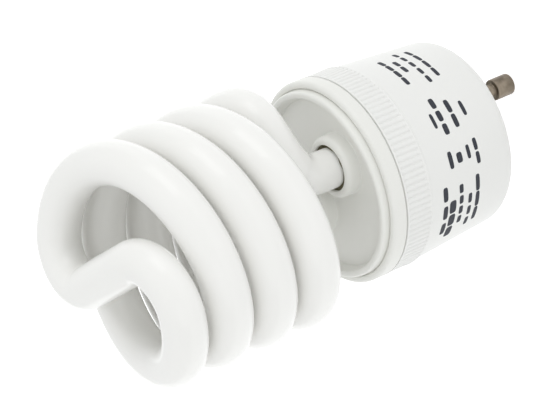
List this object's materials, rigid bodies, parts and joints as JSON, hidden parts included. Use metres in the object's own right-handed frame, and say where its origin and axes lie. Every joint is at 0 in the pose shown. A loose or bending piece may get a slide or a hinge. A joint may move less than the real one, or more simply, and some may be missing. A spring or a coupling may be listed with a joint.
{
  "type": "spiral compact fluorescent lamp",
  "caption": "Compact fluorescent lamp with a white double-helix glass tube, a recessed cover with round collars, a ribbed cylindrical ballast base and two headed twist-lock contact pins.",
  "frame": {"origin": "centre of the base's flat rear face, between the two contact pins", "axes": "+Z along the lamp's axis from the base to the front of the spiral; -Y faces the camera side of the picture"},
  "size_m": [0.057, 0.057, 0.1132],
  "materials": {
    "spiral_tube": "white coated glass, gloss",
    "top_cover": "satin moulded plastic",
    "base_housing": "satin moulded plastic",
    "cement": "dull",
    "contact_pin": "nickel-plated, worn satin",
    "lead_wire": "tinned",
    "circuit_board": "paper laminate",
    "ferrite": "matt",
    "choke_bobbin": "moulded",
    "winding": "enamelled wire",
    "smoothing_capacitor": "shrink sleeve",
    "resonant_capacitor": "dipped",
    "snubber_capacitor": "dipped",
    "semiconductor": "moulded epoxy",
    "resistor": "lacquered",
    "fuse_resistor": "lacquered"
  },
  "bodies": {
    "root": {"spiral_tube": "spiral_tube", "top_cover": "top_cover", "base_housing": "base_housing", "tube_cement_1": "cement", "tube_cement_2": "cement", "contact_pin_1": "contact_pin", "contact_pin_2": "contact_pin", "pin_lead_1": "lead_wire", "pin_lead_2": "lead_wire", "circuit_board": "circuit_board", "filament_post_1": "lead_wire", "filament_post_2": "lead_wire", "filament_post_3": "lead_wire", "filament_post_4": "lead_wire", "filament_lead_1": "lead_wire", "filament_lead_2": "lead_wire", "filament_lead_3": "lead_wire", "filament_lead_4": "lead_wire", "choke_core": "ferrite", "choke_bobbin": "choke_bobbin", "choke_winding": "winding", "ring_core": "ferrite", "ring_winding": "winding", "smoothing_capacitor": "smoothing_capacitor", "resonant_capacitor": "resonant_capacitor", "snubber_capacitor": "snubber_capacitor", "transistor_1": "semiconductor", "transistor_2": "semiconductor", "diode_1": "semiconductor", "diode_2": "semiconductor", "diode_3": "semiconductor", "diode_4": "semiconductor", "resistor_1": "resistor", "resistor_2": "resistor", "fuse_resistor": "fuse_resistor", "filter_inductor": "ferrite"}
  },
  "joints": []
}
